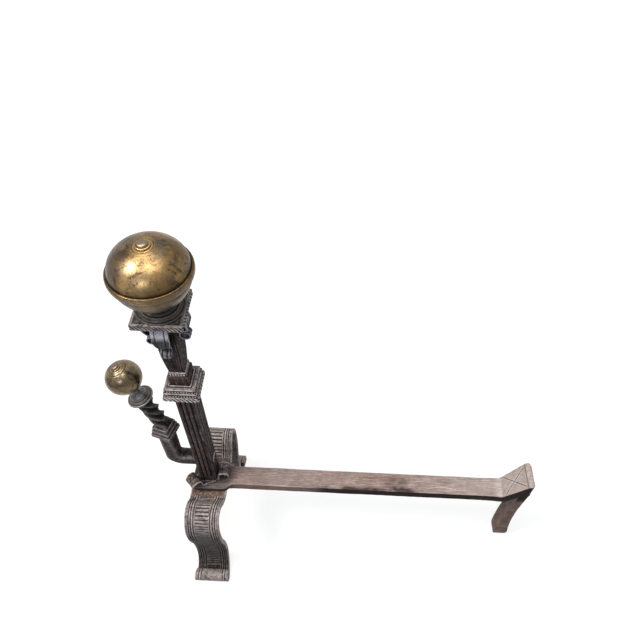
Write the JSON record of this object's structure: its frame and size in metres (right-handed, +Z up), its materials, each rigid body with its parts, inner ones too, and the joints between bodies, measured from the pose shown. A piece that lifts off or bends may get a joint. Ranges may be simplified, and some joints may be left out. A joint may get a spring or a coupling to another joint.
{
  "type": "andiron",
  "caption": "Forged iron andiron: scroll-toed strap arch, log bar with rear leg, fluted post topped by a hollow brass ball, and a twisted horn with a smaller brass ball in front.",
  "frame": {"origin": "middle of the whole object's footprint, on the floor", "axes": "+X along the log bar, from the post towards the fireback; -X is the front with the horn; +Z up; the legs spread along Y"},
  "size_m": [0.5856, 0.2212, 0.6501],
  "materials": {
    "iron": "hand-forged iron, dark and waxed",
    "bar_iron": "forged iron, heat-greyed and rusted",
    "brass": "aged brass with brown patina",
    "bronze": "dark bronze patina"
  },
  "bodies": {
    "root": {"leg_arch": "iron", "log_bar": "bar_iron", "petal_plate": "iron", "post": "iron", "under_washer": "iron", "main_collar": "iron", "bead_band": "iron", "cap_plate": "iron", "bracket_rear": "iron", "bracket_far": "iron", "bracket_front": "iron", "bracket_near": "iron", "ball_dish": "bronze", "ball_neck": "bronze", "ball_lower_half": "brass", "ball_upper_half": "brass", "ball_washer": "brass", "horn_arm": "iron", "horn_arm_washer": "iron", "horn_collar": "iron", "horn_disc": "bronze", "horn_ball": "brass", "horn_washer": "brass"}
  },
  "joints": []
}
